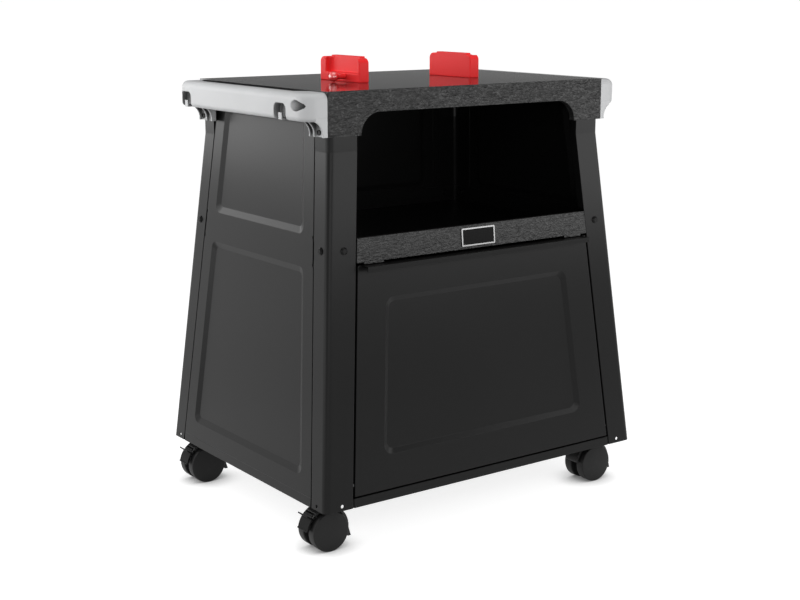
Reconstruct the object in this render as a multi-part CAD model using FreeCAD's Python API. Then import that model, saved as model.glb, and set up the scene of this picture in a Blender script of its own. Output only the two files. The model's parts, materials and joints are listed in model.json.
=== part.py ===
import FreeCAD, Part

import math
import os

from FreeCAD import Matrix, Placement, Rotation, Vector

# A storage cart for a table-top grill: sheet steel body on four casters.
# Millimetres. X is the width, Y the depth with the door at the low end, Z is up.
# The origin lies on the floor, under the middle of the legs.

# Body
TOP_HEIGHT = 700.0
SHEET = 1.5
LEG_TOP_WIDTH = 540.0
LEG_TOP_DEPTH = 388.0
PLATE_OVERHANG_X = 2.5
PLATE_OVERHANG_Y = 2.0
LEG_FOOT_WIDTH = 636.0
LEG_FOOT_DEPTH = 494.0
KINK_DROP = 90.0
FOOT_HEIGHT = 74.0

# Legs
LEG_FACE_WIDTH = 50.0
LEG_SIDE_WIDTH = 38.0
LEG_CORNER_RADIUS = 10.0
LEG_RETURN_DEPTH = 14.0
LEG_RETURN_GAP = 4.0
LEG_BOLT_FROM_EDGE = 28.4
LEG_BOLT_FROM_BACK = 20.0
LEG_BOLT_RISE = 20.4
LEG_HOLE_RADIUS = 2.8
LEG_HOLE_HEIGHT = 7.0
LEG_HOLE_FROM_EDGE = 31.0
LEG_HOLE_FROM_BACK = 24.0
BOLT_RADIUS = 3.0
BOLT_HEAD_RADIUS = 6.0
BOLT_HEAD_HEIGHT = 3.0
BOLT_CROWN_RADIUS = 3.3
BOLT_EDGE_HEIGHT = 0.8
BOLT_NUT_RADIUS = 5.5
BOLT_NUT_HEIGHT = 4.0
SEAM = 2.5
HOLE_CLEARANCE = 0.1
OVERRUN = 5.0
FLAT = 0.01

# Fascia and top plate
FASCIA_SHEET = 2.0
FASCIA_HEIGHT = 67.0
FASCIA_BAND = 33.0
FASCIA_OPENING_INSET = 59.0
FASCIA_ARCH_RADIUS = 34.0
FASCIA_RIM_DEPTH = 10.0
FASCIA_END_RETURN = 26.0
PLATE_SKIRT = 22.0

# Middle shelf, crossbar and name plate
CROSSBAR_LOW = 444.0
CROSSBAR_HEIGHT = 37.0
CROSSBAR_PROUD = 1.0
CROSSBAR_LIP = 12.0
CROSSBAR_GAP = 1.5
CROSSBAR_TAB_INNER = 184.0
CROSSBAR_TAB_OUTER = 220.0
CROSSBAR_TAB_DROP = 2.8
SHELF_OVER_BAR = 2.0
SHELF_RIM = 30.0
BADGE_WIDTH = 67.0
BADGE_HEIGHT = 28.5
BADGE_THICKNESS = 2.0
BADGE_BORDER = 2.2
BADGE_FIELD_DEPTH = 0.6
BADGE_CORNER = 2.0

# Panels and their pressed recesses
PANEL_RECESS_MARGIN = 28.0
PANEL_RECESS_DEPTH = 4.0
PANEL_RECESS_BEVEL = 10.0
PANEL_RECESS_CORNER = 12.0
RECESS_SPREAD = 0.9
PANEL_BAND_LOW = 434.0
PANEL_BAND_HIGH = 483.0
PANEL_TOP_MARGIN = 40.0
PANEL_NOTCH_DEPTH = 1.2
PANEL_NOTCH_LOW = 438.0
PANEL_NOTCH_HIGH = 484.0
PANEL_RELIEF_DEPTH = 2.6
PANEL_RELIEF_HEIGHT = 5.0
TONGUE = 8.0
TONGUE_GAP = 1.0

# Bottom tray
TRAY_TOP = 88.0

# Door
DOOR_GAP = 4.0
DOOR_FOOT_GAP = 3.0
DOOR_HEAD_GAP = 4.0
DOOR_RETURN_DEPTH = 15.0
DOOR_HEAD_RETURN = 8.0
DOOR_RECESS_MARGIN = 53.0
DOOR_RECESS_DEPTH = 5.0
DOOR_RECESS_BEVEL = 8.0
DOOR_RECESS_CORNER = 16.0
DOOR_PULL_HALF = 225.0
DOOR_PULL_REACH = 18.0
DOOR_PULL_DROP = 8.0
HINGE_RISE = 16.0
HINGE_INSET = 7.0
HINGE_PIN_RADIUS = 3.0
HINGE_HEAD_RADIUS = 4.8
HINGE_HEAD_THICKNESS = 1.8
HINGE_HEAD_GAP = 0.3
HINGE_TAIL = 1.5
RUNNING_CLEARANCE = 0.05
CATCH_WIDTH = 32.0
CATCH_DEPTH = 9.0
CATCH_HEIGHT = 2.6

# Handles
HANDLE_GAP = 17.5
HANDLE_THICKNESS = 22.0
HANDLE_HEIGHT = 42.0
HANDLE_DROP = 1.5
HANDLE_FRONT_LENGTH = 48.0
HANDLE_REAR_LENGTH = 14.0
HANDLE_TOP_RADIUS = 11.0
HANDLE_FOOT_RADIUS = 7.0
HANDLE_EDGE_RADIUS = 3.0
HANDLE_FRONT_RADIUS = 24.0
HANDLE_REAR_RADIUS = 14.0
HOOK_SLOT_WIDTH = 34.0
HOOK_SLOT_HEIGHT = 25.0
HOOK_SLOT_DEPTH = 13.0
HOOK_SLOT_CORNER = 9.0
HOOK_WIDTH = 10.0
HOOK_HEIGHT = 11.0
HOOK_THICKNESS = 3.5
HOOK_INSET = 0.5
HOOK_FROM_FRONT = 71.0
HOOK_FROM_REAR = 24.0
POCKET_RADIUS = 8.0
POCKET_FROM_FRONT = 27.3
POCKET_RISE = 23.5
POCKET_ANGLE = 41.0
POCKET_DEPTH = 19.0
GUSSET_HEIGHT = 23.5
GUSSET_REACH = 21.5
GUSSET_FOOT = 9.0
GUSSET_HOLLOW = 4.4
GUSSET_RIB = 3.0
GUSSET_SCREW_BAY = 24.0
GUSSET_FRONT_BAY = 12.0
GUSSET_REAR_BAY = 17.0
GUSSET_REAR_INSET = 10.0
GUSSET_WEB = 3.5
GUSSET_FLOOR = 4.0
GUSSET_SCREW_INSET = 18.0
GUSSET_SCREW_DROP = 16.9
SCREW_RADIUS = 2.4
SCREW_HEAD_RADIUS = 4.2
SCREW_HEAD_HEIGHT = 1.8

# Grill locks
LOCK_OUTER = 122.0
LOCK_THICKNESS = 19.0
LOCK_FRONT = -57.0
LOCK_LENGTH = 115.0
LOCK_HEIGHT = 41.0
LOCK_SHOULDER = 2.5
LOCK_REAR_SHOULDER = 21.0
LOCK_FRONT_SHOULDER = 12.0
LOCK_RIB = 17.0
LOCK_FRONT_RIB = 6.0
LOCK_POCKET_DEPTH = 9.0
LOCK_LEDGE = 14.0
LOCK_CORNER = 9.0
LOCK_EDGE = 2.0
LOCK_SCREW_INSET = 14.0
LOCK_SCREW_DEPTH = 9.0
PLUNGER_PLACE = -15.0
PLUNGER_HEIGHT = 8.7
PLUNGER_RADIUS = 3.0
PLUNGER_COLLAR_RADIUS = 4.5
PLUNGER_COLLAR_GAP = 0.3
PLUNGER_BALL_RADIUS = 8.0
PLUNGER_BALL_REACH = 21.5
PLUNGER_BORE_DEPTH = 17.0
PLUNGER_END_GAP = 0.5

# Casters
WHEEL_RADIUS = 32.0
WHEEL_WIDTH = 14.0
WHEEL_DOME = 3.5
WHEEL_EDGE = 2.5
WHEEL_GAP = 7.0
CASTER_INSET_X = 41.0
CASTER_INSET_Y = 51.0
CASTER_TRAIL = 12.0
AXLE_RADIUS = 4.0
AXLE_HALF_LENGTH = 17.0
AXLE_END_GAP = 0.3
HOOD_CLEARANCE = 1.4
HOOD_WALL = 4.6
HOOD_HALF_WIDTH = 14.0
HOOD_CROWN = 1.5
HOOD_WEB = 12.0
HOOD_FLARE_ANGLE = -4.0
HOOD_TOE_REACH = 42.3
HOOD_TOE_DROP = 17.3
HOOD_TOE_THICKNESS = 6.5
HOOD_REAR_ANGLE = 171.0
HOOD_BRAKE_ANGLE = 126.0
HUB_RADIUS = 9.0
HUB_REAR_ANGLE = 200.0
HUB_FOOT_ANGLE = 270.0
HUB_FRONT_ANGLE = 310.0
STEM_RADIUS = 5.5
PINTLE_RADIUS = 4.0
PINTLE_FOOT_HEIGHT = 46.0
STEM_BOSS_RADIUS = 11.0
STEM_COLLAR_RADIUS = 15.0
STEM_NUT_RADIUS = 9.0
STEM_NUT_HEIGHT = 8.0
STEM_TIP = 3.0
STEM_GAP = 0.5
STEM_HOLE_CLEARANCE = 0.2
PEDAL_PIN_ANGLE = 132.0
PEDAL_PIN_RADIUS = 1.6
PEDAL_KNUCKLE_RADIUS = 3.0
PEDAL_KNUCKLE_HALF_WIDTH = 11.0
PEDAL_SIDE_GAP = 0.4
PEDAL_LUG_ANGLE = 138.0
PEDAL_PLATE_ANGLE = 139.5
PEDAL_END_ANGLE = 173.0
PEDAL_INNER_RADIUS = 35.2
PEDAL_WALL = 2.8
PEDAL_EAR = 9.5
PEDAL_LIP = 1.3
PEDAL_EAR_THICKNESS = 2.2

LEFT, RIGHT, FRONT, BACK = "left", "right", "front", "back"
OUTWARD = {LEFT: Vector(-1, 0, 0), RIGHT: Vector(1, 0, 0), FRONT: Vector(0, -1, 0), BACK: Vector(0, 1, 0)}
ALONG = {LEFT: Vector(0, -1, 0), RIGHT: Vector(0, 1, 0), FRONT: Vector(1, 0, 0), BACK: Vector(-1, 0, 0)}
UP = Vector(0, 0, 1)
PLATE_UNDERSIDE = TOP_HEIGHT - SHEET
KINK_HEIGHT = TOP_HEIGHT - KINK_DROP
PLATE_WIDTH = LEG_TOP_WIDTH + 2 * PLATE_OVERHANG_X
PLATE_DEPTH = LEG_TOP_DEPTH + 2 * PLATE_OVERHANG_Y
FASCIA_OPENING_HALF = PLATE_WIDTH / 2 - FASCIA_OPENING_INSET
HANDLE_OUTER = PLATE_WIDTH / 2 + HANDLE_GAP + HANDLE_THICKNESS
HOOK_FRONT_PLACE = -PLATE_DEPTH / 2 + HOOK_FROM_FRONT
HOOK_REAR_PLACE = PLATE_DEPTH / 2 - HOOK_FROM_REAR
POCKET_PLACE = -PLATE_DEPTH / 2 + POCKET_FROM_FRONT
WIDER_THAN_CART = LEG_FOOT_WIDTH + PLATE_WIDTH
SPLAY_RISE = KINK_HEIGHT - FOOT_HEIGHT
SLOPE_X = (LEG_FOOT_WIDTH - LEG_TOP_WIDTH) / 2 / SPLAY_RISE
SLOPE_Y = (LEG_FOOT_DEPTH - LEG_TOP_DEPTH) / 2 / SPLAY_RISE


def splay_half_width(z):
    """Half the width between the splayed leg faces, carried on above the kink."""
    return LEG_TOP_WIDTH / 2 + SLOPE_X * (KINK_HEIGHT - z)


def splay_half_depth(z):
    return LEG_TOP_DEPTH / 2 + SLOPE_Y * (KINK_HEIGHT - z)


def box(x0, x1, y0, y1, z0, z1):
    corner = Vector(min(x0, x1), min(y0, y1), min(z0, z1))
    return Part.makeBox(abs(x1 - x0), abs(y1 - y0), abs(z1 - z0), corner)


def rod(radius, start, end):
    run = end.sub(start)
    return Part.makeCylinder(radius, run.Length, start, run)


def mirrored(shape):
    """The same shape on the other side of the middle plane of the width."""
    return shape.mirror(Vector(0, 0, 0), Vector(1, 0, 0))


def fused(shapes):
    result = shapes[0].multiFuse(shapes[1:]) if len(shapes) > 1 else shapes[0]
    return result.removeSplitter()


def offset_polygon(points, distance):
    """Moves each side of a convex polygon, given anticlockwise, outwards by a distance."""
    count = len(points)
    lines = []
    for i in range(count):
        (x0, y0), (x1, y1) = points[i], points[(i + 1) % count]
        length = math.hypot(x1 - x0, y1 - y0)
        nx, ny = (y1 - y0) / length, -(x1 - x0) / length
        lines.append((nx, ny, nx * x0 + ny * y0 + distance))
    moved = []
    for i in range(count):
        a1, b1, c1 = lines[i - 1]
        a2, b2, c2 = lines[i]
        det = a1 * b2 - a2 * b1
        moved.append(((c1 * b2 - c2 * b1) / det, (a1 * c2 - a2 * c1) / det))
    return moved


def rounded_wire(points, radius, level):
    """A closed wire at one level, with its corners rounded."""
    edges = []
    count = len(points)
    starts, ends, middles = [], [], []
    for i in range(count):
        here = Vector(points[i][0], points[i][1], level)
        back = Vector(points[i - 1][0], points[i - 1][1], level).sub(here)
        ahead = Vector(points[(i + 1) % count][0], points[(i + 1) % count][1], level).sub(here)
        half = back.getAngle(ahead) / 2
        reach = radius / math.tan(half)
        back.normalize()
        ahead.normalize()
        inward = back.add(ahead)
        inward.normalize()
        centre = here.add(inward * (radius / math.sin(half)))
        starts.append(here.add(back * reach))
        ends.append(here.add(ahead * reach))
        middles.append(centre.sub(inward * radius))
    for i in range(count):
        edges.append(Part.Arc(starts[i], middles[i], ends[i]).toShape())
        edges.append(Part.LineSegment(ends[i], starts[(i + 1) % count]).toShape())
    return Part.Wire(edges)


def polygon_wire(points, level):
    corners = [Vector(x, y, level) for x, y in points]
    return Part.makePolygon(corners + corners[:1])


def prism(wire, run):
    return Part.Face(wire).extrude(run)


def clipped(shape, low, high):
    """The part of a shape between two heights."""
    far = WIDER_THAN_CART
    return shape.common(box(-far, far, -far, far, low, high))


# The four splayed faces: drawings in (distance along the face, height), depths measured level


def face_frame(side):
    """Placement of a splayed face, and the cosine of its lean."""
    is_side = side in (LEFT, RIGHT)
    lean = math.atan(SLOPE_X if is_side else SLOPE_Y)
    at_floor = splay_half_width(0) if is_side else splay_half_depth(0)
    out = OUTWARD[side]
    along = ALONG[side]
    rise = UP * math.cos(lean) - out * math.sin(lean)
    normal = along.cross(rise)
    origin = out * at_floor
    frame = Matrix(
        along.x, rise.x, normal.x, origin.x,
        along.y, rise.y, normal.y, origin.y,
        along.z, rise.z, normal.z, origin.z,
        0, 0, 0, 1)
    return Placement(frame), math.cos(lean)


def on_face(side, outline, near, far):
    """A slab on a splayed face, from one level depth inside its plane to another."""
    placement, cosine = face_frame(side)
    points = [(u, z / cosine) for u, z in outline]
    slab = prism(polygon_wire(points, -far * cosine), Vector(0, 0, (far - near) * cosine))
    slab.Placement = placement
    return slab


def pressed_recess(side, outline, corner, bevel, depth, sheet):
    """The hollow of a pressed recess, and the bulge that it makes on the other side."""
    placement, cosine = face_frame(side)
    mouth = [(u, z / cosine) for u, z in outline]
    floor = offset_polygon(mouth, -bevel)
    grow = RECESS_SPREAD
    hollow = Part.makeLoft([
        rounded_wire(mouth, corner, 0),
        rounded_wire(floor, corner - bevel / 2, -depth)], True, True)
    bulge = Part.makeLoft([
        rounded_wire(offset_polygon(mouth, grow), corner + grow, -sheet * cosine),
        rounded_wire(offset_polygon(floor, grow), corner - bevel / 2 + grow, -depth - sheet)], True, True)
    hollow.Placement = placement
    bulge.Placement = placement
    return hollow, bulge


def face_rod(side, along, height, near, far, radius):
    """A round bar square to a splayed face."""
    placement, cosine = face_frame(side)
    bar = Part.makeCylinder(radius, (far - near) * cosine, Vector(along, height / cosine, -far * cosine))
    bar.Placement = placement
    return bar


# Legs


def leg_profile(side_x, side_y, z, outline):
    """Wire of a leg section at a height; outline lists (from the edge, from the back) points and arcs."""
    half_x = splay_half_width(z)
    half_y = splay_half_depth(z)

    def place(point):
        return Vector(side_x * (half_x - point[0]), side_y * (half_y - point[1]), z)

    edges = []
    for step in outline:
        places = [place(point) for point in step]
        if len(places) == 3:
            edges.append(Part.Arc(*places).toShape())
        else:
            edges.append(Part.LineSegment(*places).toShape())
    return Part.Wire(edges)


def leg_outline():
    """The L-section with its rounded corner."""
    face, side, radius, wall = LEG_FACE_WIDTH, LEG_SIDE_WIDTH, LEG_CORNER_RADIUS, SHEET
    outer = radius * (1 - math.sqrt(0.5))
    inner_radius = radius - wall
    inner = radius - inner_radius * math.sqrt(0.5)
    return [
        ((face, 0), (radius, 0)),
        ((radius, 0), (outer, outer), (0, radius)),
        ((0, radius), (0, side)),
        ((0, side), (wall, side)),
        ((wall, side), (wall, radius)),
        ((wall, radius), (inner, inner), (radius, wall)),
        ((radius, wall), (face, wall)),
        ((face, wall), (face, 0))]


def return_outline():
    """The strip folded back along the inner edge of a leg's face."""
    inner, outer = LEG_FACE_WIDTH - SHEET, LEG_FACE_WIDTH
    corners = [(outer, 0), (outer, LEG_RETURN_DEPTH), (inner, LEG_RETURN_DEPTH), (inner, 0)]
    return [(corners[i], corners[(i + 1) % 4]) for i in range(4)]


def splayed_bar(side_x, side_y, outline, low, high):
    run = Vector(-side_x * SLOPE_X * (high - low), -side_y * SLOPE_Y * (high - low), high - low)
    return prism(leg_profile(side_x, side_y, low, outline), run)


def upright_bar(side_x, side_y, outline, low, high):
    bar = prism(leg_profile(side_x, side_y, KINK_HEIGHT, outline), Vector(0, 0, high - low))
    bar.translate(Vector(0, 0, low - KINK_HEIGHT))
    return bar


def face_of(side_x, side_y):
    """Names of the side face and the front or back face of a leg."""
    return (RIGHT if side_x > 0 else LEFT), (BACK if side_y > 0 else FRONT)


def along_value(side, x, y):
    """Distance along a splayed face of a point given by x and y."""
    return ALONG[side].x * x + ALONG[side].y * y


def bolt_height():
    return CROSSBAR_LOW + LEG_BOLT_RISE


def leg_bolt_places(side_x, side_y):
    """Face and distance along it of the two bolts of a leg."""
    side, face = face_of(side_x, side_y)
    z = bolt_height()
    x = side_x * (splay_half_width(z) - LEG_BOLT_FROM_EDGE)
    y = side_y * (splay_half_depth(z) - LEG_BOLT_FROM_BACK)
    return [(face, along_value(face, x, 0)), (side, along_value(side, 0, y))]


def leg(side_x, side_y):
    """A corner leg; the front ones have a strip folded back beside the door and the opening."""
    crossbar_top = CROSSBAR_LOW + CROSSBAR_HEIGHT
    bars = [
        splayed_bar(side_x, side_y, leg_outline(), FOOT_HEIGHT, KINK_HEIGHT),
        upright_bar(side_x, side_y, leg_outline(), KINK_HEIGHT, PLATE_UNDERSIDE)]
    if side_y < 0:
        strip_outline, gap = return_outline(), LEG_RETURN_GAP
        bars += [
            splayed_bar(side_x, side_y, strip_outline, TRAY_TOP + gap, CROSSBAR_LOW - gap),
            splayed_bar(side_x, side_y, strip_outline, crossbar_top + gap, KINK_HEIGHT),
            upright_bar(side_x, side_y, strip_outline, KINK_HEIGHT, PLATE_UNDERSIDE)]
    solid = fused(bars)
    side, face = face_of(side_x, side_y)
    hole_z = FOOT_HEIGHT + LEG_HOLE_HEIGHT
    x = side_x * (splay_half_width(hole_z) - LEG_HOLE_FROM_EDGE)
    y = side_y * (splay_half_depth(hole_z) - LEG_HOLE_FROM_BACK)
    cuts = [
        face_rod(face, along_value(face, x, 0), hole_z, -OVERRUN, OVERRUN, LEG_HOLE_RADIUS),
        face_rod(side, along_value(side, 0, y), hole_z, -OVERRUN, OVERRUN, LEG_HOLE_RADIUS)]
    for name, along in leg_bolt_places(side_x, side_y):
        cuts.append(face_rod(name, along, bolt_height(), -OVERRUN, OVERRUN, BOLT_RADIUS + HOLE_CLEARANCE))
    if side_y < 0:
        cuts.append(hinge_bore(side_x, HINGE_PIN_RADIUS + RUNNING_CLEARANCE))
    return solid.cut(Part.makeCompound(cuts))


def leg_bolt(side, along):
    """A button-head bolt through a leg and the shelf's rim, with its nut."""
    placement, cosine = face_frame(side)
    grip = 2 * SHEET * cosine
    profile = [
        Vector(0, 0, BOLT_HEAD_HEIGHT), Vector(BOLT_CROWN_RADIUS, 0, BOLT_HEAD_HEIGHT),
        Vector(BOLT_HEAD_RADIUS, 0, BOLT_EDGE_HEIGHT), Vector(BOLT_HEAD_RADIUS, 0, 0),
        Vector(BOLT_RADIUS, 0, 0),
        Vector(BOLT_RADIUS, 0, -grip), Vector(BOLT_NUT_RADIUS, 0, -grip),
        Vector(BOLT_NUT_RADIUS, 0, -grip - BOLT_NUT_HEIGHT), Vector(0, 0, -grip - BOLT_NUT_HEIGHT)]
    solid = Part.Face(Part.makePolygon(profile + profile[:1])).revolve(Vector(0, 0, 0), UP, 360)
    solid.translate(Vector(along, bolt_height() / cosine, 0))
    solid.Placement = placement.multiply(solid.Placement)
    return solid


def leg_bolts():
    bolts = []
    for side_x in (-1, 1):
        for side_y in (-1, 1):
            for side, along in leg_bolt_places(side_x, side_y):
                bolts.append(leg_bolt(side, along))
    return Part.makeCompound(bolts)


# Top plate and fascia


def top_plate():
    half_x, half_y = PLATE_WIDTH / 2, PLATE_DEPTH / 2
    front = -half_y + FASCIA_SHEET
    skirt_front = -half_y + FASCIA_END_RETURN
    low = TOP_HEIGHT - PLATE_SKIRT
    return fused([
        box(-half_x, half_x, front, half_y, PLATE_UNDERSIDE, TOP_HEIGHT),
        box(-half_x, -half_x + SHEET, skirt_front, half_y, low, PLATE_UNDERSIDE),
        box(half_x - SHEET, half_x, skirt_front, half_y, low, PLATE_UNDERSIDE),
        box(-half_x, half_x, half_y - SHEET, half_y, low, PLATE_UNDERSIDE)])


def arch_face(grow, y):
    """Outline of the fascia's opening, grown by a distance, as a face across the depth."""
    half = FASCIA_OPENING_HALF + grow
    radius = FASCIA_ARCH_RADIUS + grow
    head = TOP_HEIGHT - FASCIA_BAND + grow
    sill = TOP_HEIGHT - FASCIA_HEIGHT - OVERRUN
    turn = radius * math.sqrt(0.5)
    centre_x, centre_z = half - radius, head - radius

    def place(x, z):
        return Vector(x, y, z)

    edges = [
        Part.LineSegment(place(-half, sill), place(half, sill)),
        Part.LineSegment(place(half, sill), place(half, centre_z)),
        Part.Arc(place(half, centre_z), place(centre_x + turn, centre_z + turn), place(centre_x, head)),
        Part.LineSegment(place(centre_x, head), place(-centre_x, head)),
        Part.Arc(place(-centre_x, head), place(-centre_x - turn, centre_z + turn), place(-half, centre_z)),
        Part.LineSegment(place(-half, centre_z), place(-half, sill))]
    return Part.Face(Part.Wire([edge.toShape() for edge in edges]))


def front_fascia():
    half_x, front = PLATE_WIDTH / 2, -PLATE_DEPTH / 2
    low = TOP_HEIGHT - FASCIA_HEIGHT
    sheet = box(-half_x, half_x, front, front + FASCIA_SHEET, low, TOP_HEIGHT)
    rim_depth = FASCIA_SHEET + FASCIA_RIM_DEPTH
    rim = arch_face(SHEET, front).extrude(Vector(0, rim_depth, 0))
    hole = arch_face(0, front - OVERRUN).extrude(Vector(0, rim_depth + 2 * OVERRUN, 0))
    ends = [
        box(x, x + SHEET, front, front + FASCIA_END_RETURN, low, PLATE_UNDERSIDE)
        for x in (-half_x, half_x - SHEET)]
    solid = fused([sheet, clipped(rim, low, TOP_HEIGHT)] + ends)
    y, z = gusset_screw_places()[0]
    ends = Vector(-WIDER_THAN_CART, y, z), Vector(WIDER_THAN_CART, y, z)
    across = rod(SCREW_RADIUS + HOLE_CLEARANCE, *ends)
    return solid.cut(Part.makeCompound([hole, across]))


# Panels, shelf and crossbar


def panel_edge(side, z):
    """Half the length of a panel at a height, up to the seam beside the legs."""
    if side in (LEFT, RIGHT):
        return splay_half_depth(z) - LEG_SIDE_WIDTH - SEAM
    return splay_half_width(z) - LEG_FACE_WIDTH - SEAM


def tapered(edge, low, high, margin=0.0):
    """A symmetric outline between two heights, inside an edge given by a function of height."""
    return [
        (-edge(low) + margin, low), (edge(low) - margin, low),
        (edge(high) - margin, high), (-edge(high) + margin, high)]


def tongue(side, sign, low, high):
    """A strip along the edge of a panel or of the tray that is set back to lie behind the leg."""
    heights = [low, high] if high <= KINK_HEIGHT else [low, KINK_HEIGHT, high]

    def reach(z):
        return panel_edge(side, min(z, KINK_HEIGHT)) + SEAM + TONGUE

    root = PANEL_RELIEF_DEPTH + SHEET
    inner = [(sign * (panel_edge(side, z) - root), z) for z in (low, high)]
    outer = [(sign * reach(z), z) for z in heights]
    return on_face(side, inner + outer[::-1], SHEET, 2 * SHEET)


def notch(side, sign, depth, low, high):
    """A slot along a panel's edge beside the shelf, cut through the sheet alone."""
    outline = [
        (sign * (panel_edge(side, low) - depth), low), (sign * (panel_edge(side, low) + OVERRUN), low),
        (sign * (panel_edge(side, high) + OVERRUN), high), (sign * (panel_edge(side, high) - depth), high)]
    return on_face(side, outline, -OVERRUN, SHEET)


def panel(side):
    """A wall between two legs, with a pressed recess above and below the crossbar's height."""
    low, high = TRAY_TOP, PLATE_UNDERSIDE

    def edge(z):
        return panel_edge(side, z)

    below, above = low - OVERRUN, high + OVERRUN
    sheet = clipped(on_face(side, tapered(edge, below, above), 0, SHEET), low, high)
    tongues = [
        clipped(tongue(side, sign, z0, z1), low, high)
        for sign in (-1, 1)
        for z0, z1 in ((below, shelf_low() - TONGUE_GAP), (shelf_high() + TONGUE_GAP, above))]
    recess_low = low + PANEL_RECESS_MARGIN
    recess_high = high - PANEL_TOP_MARGIN
    hollows, bulges = [], []
    for z0, z1 in ((recess_low, PANEL_BAND_LOW), (PANEL_BAND_HIGH, recess_high)):
        hollow, bulge = pressed_recess(
            side, tapered(edge, z0, z1, PANEL_RECESS_MARGIN),
            PANEL_RECESS_CORNER, PANEL_RECESS_BEVEL, PANEL_RECESS_DEPTH, SHEET)
        hollows.append(hollow)
        bulges.append(bulge)
    relief = PANEL_RELIEF_HEIGHT
    for sign in (-1, 1):
        hollows += [
            notch(side, sign, PANEL_NOTCH_DEPTH, PANEL_NOTCH_LOW, PANEL_NOTCH_HIGH),
            notch(side, sign, PANEL_RELIEF_DEPTH, PANEL_NOTCH_LOW, PANEL_NOTCH_LOW + relief),
            notch(side, sign, PANEL_RELIEF_DEPTH, PANEL_NOTCH_HIGH - relief, PANEL_NOTCH_HIGH)]
    return fused([sheet] + tongues + bulges).cut(Part.makeCompound(hollows))


def tray_loft(low, high, inset, corner):
    """A splayed block with rounded corners, a level distance inside the leg faces."""
    wires = []
    for z in (low, high):
        half_x, half_y = splay_half_width(z) - inset, splay_half_depth(z) - inset
        points = [(-half_x, -half_y), (half_x, -half_y), (half_x, half_y), (-half_x, half_y)]
        wires.append(rounded_wire(points, corner, z))
    return Part.makeLoft(wires, True, True)


def shelf_low():
    return CROSSBAR_LOW + SHELF_OVER_BAR


def shelf_high():
    return shelf_low() + SHELF_RIM


def middle_shelf():
    low, high = shelf_low(), shelf_high()
    corner = LEG_CORNER_RADIUS
    hollow = tray_loft(low + SHEET, high + SHEET, 2 * SHEET, corner - SHEET)
    shelf = tray_loft(low, high, SHEET, corner).cut(hollow)
    cuts = []
    for side_x in (-1, 1):
        for side_y in (-1, 1):
            for side, along in leg_bolt_places(side_x, side_y):
                hole = BOLT_RADIUS + HOLE_CLEARANCE
                cuts.append(face_rod(side, along, bolt_height(), -OVERRUN, OVERRUN, hole))
    return shelf.cut(Part.makeCompound(cuts))


def leg_inner_edge(z):
    return splay_half_width(z) - LEG_FACE_WIDTH


def crossbar_outline(low, high):
    return tapered(leg_inner_edge, low, high, CROSSBAR_GAP)


def front_crossbar():
    low, high = CROSSBAR_LOW, CROSSBAR_LOW + CROSSBAR_HEIGHT
    pieces = [
        on_face(FRONT, crossbar_outline(low, high), -CROSSBAR_PROUD, SHEET),
        on_face(FRONT, crossbar_outline(low, low + SHEET), 0, CROSSBAR_LIP),
        on_face(FRONT, crossbar_outline(high - SHEET, high), 0, CROSSBAR_LIP)]
    for sign in (-1, 1):
        inner, outer = sign * CROSSBAR_TAB_INNER, sign * CROSSBAR_TAB_OUTER
        foot = low - CROSSBAR_TAB_DROP
        outline = [(inner, foot), (outer, foot), (outer, low), (inner, low)]
        pieces.append(on_face(FRONT, outline, -CROSSBAR_PROUD, SHEET))
    return fused(pieces)


def badge_plate():
    middle = CROSSBAR_LOW + CROSSBAR_HEIGHT / 2
    placement, cosine = face_frame(FRONT)
    half_w, half_h = BADGE_WIDTH / 2, BADGE_HEIGHT / 2
    points = [(-half_w, -half_h), (half_w, -half_h), (half_w, half_h), (-half_w, half_h)]
    plate = prism(rounded_wire(points, BADGE_CORNER, 0), Vector(0, 0, BADGE_THICKNESS))
    field_level = BADGE_THICKNESS - BADGE_FIELD_DEPTH
    field = rounded_wire(offset_polygon(points, -BADGE_BORDER), BADGE_CORNER / 2, field_level)
    plate = plate.cut(prism(field, Vector(0, 0, OVERRUN)))
    plate.translate(Vector(0, middle / cosine, CROSSBAR_PROUD * cosine))
    plate.Placement = placement.multiply(plate.Placement)
    return plate


# Bottom tray


def bottom_tray():
    floor_low = TRAY_TOP - SHEET
    side_half = splay_half_depth(TRAY_TOP) - LEG_SIDE_WIDTH - SEAM
    face_half = splay_half_width(TRAY_TOP) - LEG_FACE_WIDTH - SEAM
    half_x, half_y = splay_half_width(TRAY_TOP), splay_half_depth(TRAY_TOP)
    corner = LEG_CORNER_RADIUS
    inner_x, inner_y = half_x - SHEET, half_y - SHEET
    points = [(-inner_x, -inner_y), (inner_x, -inner_y), (inner_x, inner_y), (-inner_x, inner_y)]
    pieces = [
        prism(rounded_wire(points, corner, floor_low), Vector(0, 0, SHEET)),
        box(-half_x, half_x, -side_half, side_half, floor_low, TRAY_TOP),
        box(-face_half, face_half, -half_y, half_y, floor_low, TRAY_TOP)]
    for side in (LEFT, RIGHT, FRONT, BACK):
        half = side_half if side in (LEFT, RIGHT) else face_half
        below, above = FOOT_HEIGHT - OVERRUN, TRAY_TOP + OVERRUN
        outline = [(-half, below), (half, below), (half, above), (-half, above)]
        strips = [tongue(side, sign, below, above) for sign in (-1, 1)]
        pieces += [
            clipped(rail, FOOT_HEIGHT, TRAY_TOP) for rail in [on_face(side, outline, 0, SHEET)] + strips]
    tray = fused(pieces)
    hole_radius = STEM_RADIUS + STEM_HOLE_CLEARANCE
    holes = [
        rod(hole_radius, Vector(x, y, floor_low - OVERRUN), Vector(x, y, TRAY_TOP + OVERRUN))
        for x, y in caster_places()]
    return tray.cut(Part.makeCompound(holes))


# Door


def door_edge(z):
    return leg_inner_edge(z) - DOOR_GAP


def door_low():
    return TRAY_TOP + DOOR_FOOT_GAP


def door_high():
    return CROSSBAR_LOW - DOOR_HEAD_GAP


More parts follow.
